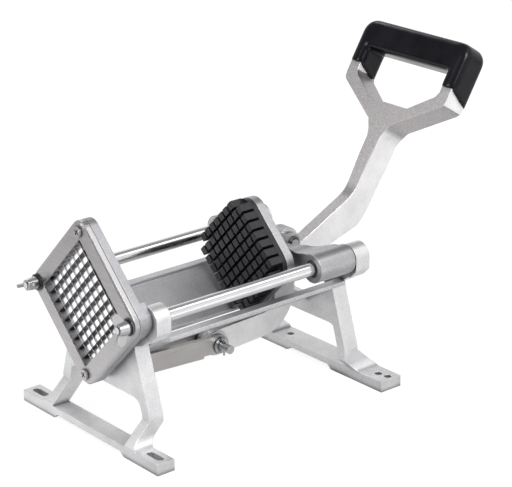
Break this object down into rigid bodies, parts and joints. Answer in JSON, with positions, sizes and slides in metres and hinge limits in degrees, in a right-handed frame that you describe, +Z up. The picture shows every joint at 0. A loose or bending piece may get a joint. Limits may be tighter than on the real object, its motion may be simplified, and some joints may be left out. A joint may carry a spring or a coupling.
{
  "type": "french fry cutter",
  "caption": "Hand-lever french fry cutter: a toothed block slides along two guide rods over a trough and pushes a potato through a square blade grid held corner up.",
  "frame": {"origin": "on the table, midway between the ends of the two foot bars and on the middle plane", "axes": "+Z up, +Y from the blades towards the handle, +X to the side of the link pin's long end"},
  "size_m": [0.204, 0.433, 0.2964],
  "materials": {
    "cast_aluminium": "fine grained cast surface, matte",
    "chromed_rod": "polished",
    "stainless": "brushed",
    "plated_steel": "bright plated",
    "dark_steel": "darkened",
    "bronze": "plain sintered",
    "black_plastic": "matte",
    "dipped_vinyl": "glossy dipped coat"
  },
  "bodies": {
    "frame": {"front_leg_casting": "cast_aluminium", "rear_leg_casting": "cast_aluminium", "guide_rod_left": "chromed_rod", "guide_rod_right": "chromed_rod", "rod_set_screws": "dark_steel", "potato_trough": "cast_aluminium", "blade_holder": "cast_aluminium", "blades_rising": "stainless", "blades_falling": "stainless", "cover_frame": "stainless", "cover_screws": "plated_steel", "wing_nut_washers": "dark_steel"},
    "left_wing_nut": {"wing_nut_left": "plated_steel"},
    "right_wing_nut": {"wing_nut_right": "plated_steel"},
    "carriage": {"pusher_carriage": "cast_aluminium", "carriage_bushes": "bronze", "pusher_block": "black_plastic", "pusher_block_screws": "plated_steel", "lever_pin": "plated_steel", "lever_pin_clip": "dark_steel"},
    "lever": {"lever": "cast_aluminium", "hand_grip": "dipped_vinyl", "link_pin": "dark_steel", "link_pin_washers": "dark_steel", "link_pin_cotter": "dark_steel"},
    "links": {"link_left": "stainless", "link_right": "stainless", "front_link_pin": "plated_steel", "front_link_pin_clip": "dark_steel"}
  },
  "joints": [
    {"name": "carriage_slide", "type": "slide", "parent": "frame", "child": "carriage", "axis": [0, -1, 0], "range_m": [0, 0.165]},
    {"name": "lever_swing", "type": "hinge", "parent": "carriage", "child": "lever", "pos_m": [0, 0.0857, 0.13], "axis": [1, 0, 0], "range_deg": [0, 90]},
    {"name": "link_swing", "type": "hinge", "parent": "lever", "child": "links", "pos_m": [0, -0.0003, 0.052], "axis": [1, 0, 0], "range_deg": [-94.6, 0]},
    {"name": "left_wing_nut_turn", "type": "hinge", "parent": "frame", "child": "left_wing_nut", "pos_m": [-0.0685, -0.15, 0.126], "axis": [0, -1, 0], "continuous": true},
    {"name": "right_wing_nut_turn", "type": "hinge", "parent": "frame", "child": "right_wing_nut", "pos_m": [0.0685, -0.15, 0.126], "axis": [0, -1, 0], "continuous": true}
  ],
  "couplings": [
    {"joint": "carriage_slide", "follows": "lever_swing", "m_per_rad": 0.10485},
    {"joint": "link_swing", "follows": "lever_swing", "ratio": -1.0507}
  ]
}
